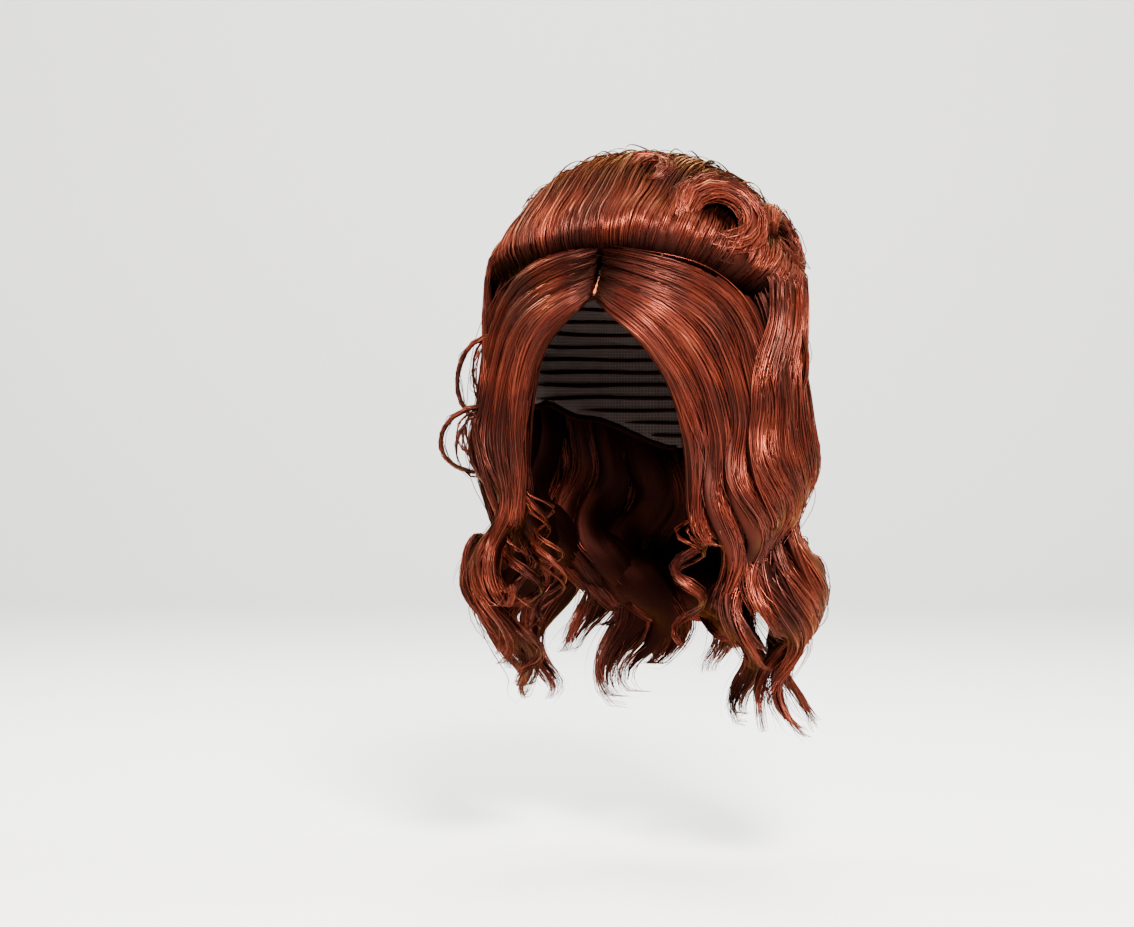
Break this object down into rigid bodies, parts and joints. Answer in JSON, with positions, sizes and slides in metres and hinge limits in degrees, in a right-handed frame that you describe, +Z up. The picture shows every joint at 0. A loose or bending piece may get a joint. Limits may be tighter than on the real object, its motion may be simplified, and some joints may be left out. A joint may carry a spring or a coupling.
{
  "type": "wavy wig",
  "caption": "Long wavy costume wig with a parted front, a high bouffant crown with curls, and free ringlets, fixed on an elastic net cap.",
  "frame": {"origin": "inside of the cap's crown, where it sits on the top of a head", "axes": "+Z up, the face looks along -Y, +X towards the wearer's left"},
  "size_m": [0.2757, 0.2342, 0.4743],
  "materials": {
    "hair": "glossy synthetic fibre",
    "cap_net": "elastic net with wefts",
    "parting": "matt"
  },
  "bodies": {
    "root": {"cap": "cap_net", "parting_strip": "parting", "crown_bouffant": "hair", "crown_curl_1": "hair", "crown_curl_2": "hair", "crown_curl_3": "hair", "front_panel_left": "hair", "front_panel_right": "hair", "side_locks_left": "hair", "side_locks_right": "hair", "back_locks_left": "hair", "back_locks_right": "hair", "ringlet_1": "hair", "ringlet_2": "hair", "ringlet_3": "hair", "tendril_1": "hair", "tendril_2": "hair", "tendril_3": "hair"}
  },
  "joints": []
}
